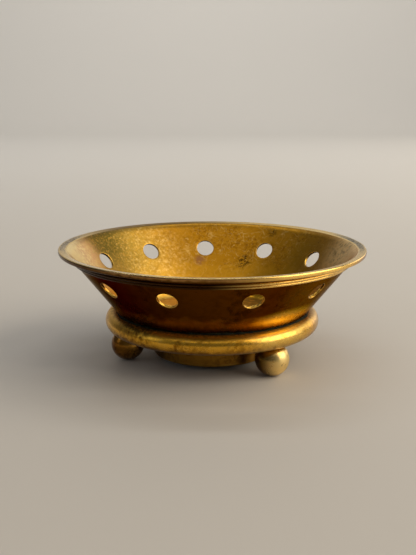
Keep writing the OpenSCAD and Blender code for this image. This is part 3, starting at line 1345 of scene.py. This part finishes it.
@dataclass
class Residue:
    """Dirt packed into a seam that runs round the axis.

    Attributes:
        name: The piece's name.
        section: Cross-section of the packed dirt at its fullest.
        anchor: Point of the section that the dirt shrinks towards, deep in the seam.
        grain: Size of its lumps in millimetres.
        stretch: How many lumps long its fuller and thinner stretches are.
        fill: How much of the seam the lumps and the fuller stretches fill, as shares.
        bare: Share of that fill which is left bare.
        thin: How far it shrinks where there is least of it, from 0 to 1.
        steps: Columns round the seam.
    """

    name: str
    section: list[Point]
    anchor: Point
    grain: float = 1.6
    stretch: float = 9
    fill: tuple[float, float] = (0.7, 1.12)
    bare: float = 0.35
    thin: float = 0.8
    steps: int = 420

    def build(self, material: Material) -> Object:
        """Build the dirt.

        Args:
            material: The crust.

        Returns:
            The finished piece.
        """
        mesh = turned(Section(list(self.section)), self.steps)
        for vert in mesh.verts:
            _, azimuth, _ = drawn(vert.co)
            deep = polar(self.anchor[0], azimuth, self.anchor[1])
            lump = noise.noise(vert.co / (self.grain * MM)) * 0.5 + 0.5
            broad = noise.noise(vert.co / (self.stretch * self.grain * MM)) * 0.5 + 0.5
            share = self.fill[0] * lump + self.fill[1] * broad - self.bare
            share = min(1.0, max(0.0, share))
            vert.co = deep.lerp(vert.co, 1 - self.thin * (1 - share))
        return finished(self.name, mesh, [material], "ring_brass")


# --------------------------------------------------------------------------- fixings

@dataclass
class Fixings:
    """The screw, washer, nut and studs, which keep their CAD shapes."""

    nodes: tuple[str, ...] = ("centre_screw", "nut_washer", "centre_nut",
                              "foot_stud_right", "foot_stud_rear", "foot_stud_left")

    def dress(self) -> None:
        """Give every fixing its finish."""
        material = FIXING_BRASS.build()
        for name in self.nodes:
            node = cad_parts[name]
            node.data.materials.clear()
            node.data.materials.append(material)
            LOG.info("%s: dressed in %s", name, material.name)


# --------------------------------------------------------------------------- studio

@dataclass(frozen=True)
class SoftBox:
    """A soft rectangular light that faces the burner or the backdrop.

    Attributes:
        name: Its name.
        place: Its centre in metres.
        size: Its width and height in metres.
        power: Its power in watts.
        colour: sRGB hex colour.
        target: The point that it faces, in metres.
    """

    name: str
    place: Place
    size: tuple[float, float]
    power: float
    colour: str
    target: Place = (0.0, 0.0, 0.03)

    def build(self) -> None:
        """Hang the light in its place."""
        light = bpy.data.lights.new(self.name, "AREA")
        light.shape = "RECTANGLE"
        light.size, light.size_y = self.size
        light.energy = self.power
        light.color = linear(self.colour)[:3]
        lamp = bpy.data.objects.new(self.name, light)
        lamp.location = self.place
        facing = Vector(self.target) - Vector(self.place)
        lamp.rotation_euler = facing.to_track_quat("-Z", "Y").to_euler()
        bpy.context.scene.collection.objects.link(lamp)


# Two windows on the right, a weak one on the left, a soft ceiling and a wash on the backdrop.
SOFT_BOXES = (
    SoftBox("window_right", (1.2, -0.25, 0.78), (1.5, 1.4), 18, "FFF4E2"),
    SoftBox("window_far", (1.15, 1.05, 0.42), (0.9, 0.7), 3.0, "FFF4E2"),
    SoftBox("window_left", (-1.4, -0.5, 0.6), (0.5, 0.7), 1.2, "EAF0FF"),
    SoftBox("ceiling", (-0.1, -0.65, 1.25), (1.5, 1.2), 3.2, "FFF8EE"),
    SoftBox("backdrop_wash", (0.0, 0.7, 1.7), (2.0, 0.8), 30, "EEF2F6", (0.0, 2.2, 0.7)),
)


@dataclass
class Studio:
    """Pale floor, soft lights and the camera.

    Attributes:
        floor: sRGB hex colour of the floor.
        half_width: Half the floor's width in metres.
        front: Where the floor starts, in metres from the burner.
        back: Where the backdrop stands, in metres from the burner.
        rise: Height of the backdrop in metres.
        sweep: Radius in metres of the bend between floor and backdrop.
        sky: sRGB hex colour of the room's light.
        sky_strength: Strength of the room's light.
        focal: Focal length in millimetres on a 36 mm frame.
        distance: Camera to the point that it looks at, in millimetres.
        elevation: Camera's angle above the table in degrees.
        aim: Height of the point that it looks at, in millimetres.
        yaw: Small turn of the camera to the left, in degrees.
        roll: Small roll of the camera, in degrees.
    """

    floor: str = "CFC8BE"
    half_width: float = 3.0
    front: float = -2.0
    back: float = 2.2
    rise: float = 2.5
    sweep: float = 0.6
    sky: str = "D8DCE0"
    sky_strength: float = 0.18
    focal: float = 54.03
    distance: float = 331.58
    elevation: float = 12.8
    aim: float = 31.74
    yaw: float = 0.29
    roll: float = 0.12

    def build_floor(self) -> None:
        """Make the floor, swept up behind into a backdrop."""
        mesh = bmesh.new()
        start, bends = self.back - self.sweep, 12
        profile = [(self.front, 0.0), (start, 0.0)]
        for i in range(1, bends + 1):
            angle = math.radians(90 * i / bends)
            profile.append((start + self.sweep * math.sin(angle),
                            self.sweep - self.sweep * math.cos(angle)))
        profile.append((self.back, self.rise))
        verts = [mesh.verts.new((-self.half_width, *point)) for point in profile]
        edges = [mesh.edges.new(pair) for pair in zip(verts, verts[1:])]
        swept = bmesh.ops.extrude_edge_only(mesh, edges=edges)
        moved = [v for v in swept["geom"] if isinstance(v, bmesh.types.BMVert)]
        bmesh.ops.translate(mesh, verts=moved, vec=(2 * self.half_width, 0, 0))
        data = bpy.data.meshes.new("studio_floor")
        for face in mesh.faces:
            face.smooth = True
        mesh.to_mesh(data)
        mesh.free()
        # Matt painted board: pale and even, so that it lights the brass from below and shows no
        # reflection of its own.
        material = bpy.data.materials.new("matt_pale_floor")
        material.use_nodes = True
        shader = material.node_tree.nodes["Principled BSDF"]
        shader.inputs["Base Color"].default_value = linear(self.floor)
        shader.inputs["Roughness"].default_value = 0.6
        data.materials.append(material)
        floor = bpy.data.objects.new("studio_floor", data)
        bpy.context.scene.collection.objects.link(floor)

    def light_room(self) -> None:
        """Set the room's own light and hang the soft boxes."""
        world = bpy.data.worlds.new("studio_room")
        world.use_nodes = True
        glow = world.node_tree.nodes["Background"]
        glow.inputs["Color"].default_value = linear(self.sky)
        glow.inputs["Strength"].default_value = self.sky_strength
        bpy.context.scene.world = world
        for box in SOFT_BOXES:
            box.build()

    def place_camera(self) -> None:
        """Place the camera at its measured angle."""
        lift, turn = math.radians(self.elevation), math.radians(self.yaw)
        away = Vector((0, -math.cos(lift), math.sin(lift))) * self.distance * MM
        forward = Matrix.Rotation(turn, 3, "Z") @ Vector((0, math.cos(lift), -math.sin(lift)))
        right = forward.cross(Vector((0, 0, 1))).normalized()
        right = Matrix.Rotation(math.radians(-self.roll), 3, forward) @ right
        above = right.cross(forward)
        data = bpy.data.cameras.new("camera")
        data.lens = self.focal
        data.clip_start = 0.01
        camera = bpy.data.objects.new("camera", data)
        turned_to = Matrix((right, above, -forward)).transposed().to_4x4()
        camera.matrix_world = Matrix.Translation(away + Vector((0, 0, self.aim * MM))) @ turned_to
        bpy.context.scene.collection.objects.link(camera)
        bpy.context.scene.camera = camera

    def build(self) -> None:
        """Build the whole studio."""
        self.place_camera()
        self.build_floor()
        self.light_room()
        bpy.context.scene.view_settings.view_transform = "Standard"


def seams(bowl: Bowl, ring: BaseRing, drum: BaseDrum) -> list[Residue]:
    """Plan the dirt in the burner's seams.

    Args:
        bowl: The bowl.
        ring: The base ring.
        drum: The drum.

    Returns:
        One residue per seam.
    """
    crown = ring.under + 2 * ring.half_round
    wall = bowl.outer_radius(crown)
    return [
        Residue("bowl_seam_residue",
                [(wall - 0.3, crown - 0.35), (wall + 1.4, crown - 0.25),
                 (wall + 1.0, crown + 0.16), (wall + 0.75, crown + 0.45),
                 (wall + 0.72, crown + 0.85), (wall - 0.1, crown + 0.2)],
                (wall + 0.05, crown - 0.3)),
        Residue("drum_seam_residue",
                [(drum.radius - 0.2, drum.top + 0.1), (drum.radius + 0.7, drum.top + 0.05),
                 (drum.radius + 0.3, drum.top - 0.25), (drum.radius - 0.1, drum.top - 0.7)],
                (drum.radius - 0.1, drum.top)),
    ]


def main() -> None:
    """Build the burner and its studio, and report each piece."""
    logging.basicConfig(level=logging.INFO, format="%(name)s %(message)s")
    bowl_low, bowl_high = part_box("bowl")
    ring_low, ring_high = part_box("base_ring")
    drum_low, drum_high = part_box("base_drum")
    bowl = Bowl(lip_radius=bowl_high.x / MM, height=bowl_high.z / MM, seat=bowl_low.z / MM)
    ring = BaseRing(radius=ring_high.x / MM, under=ring_low.z / MM, bowl=bowl)
    drum = BaseDrum(radius=drum_high.x / MM, low=drum_low.z / MM, top=drum_high.z / MM)
    bowl.build()
    ring.build()
    drum.build()
    ball_brass = BALL_BRASS.build()
    for side in FEET:
        low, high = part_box(f"ball_foot_{side}")
        centre = (low + high) / 2
        centre.z = 0.0
        BallFoot(side=side, centre=centre, top=ring.under).build(ball_brass)
    crust = SeamCrust().build()
    for residue in seams(bowl, ring, drum):
        residue.build(crust)
    Fixings().dress()
    Studio().build()


if __name__ == "__main__":
    main()
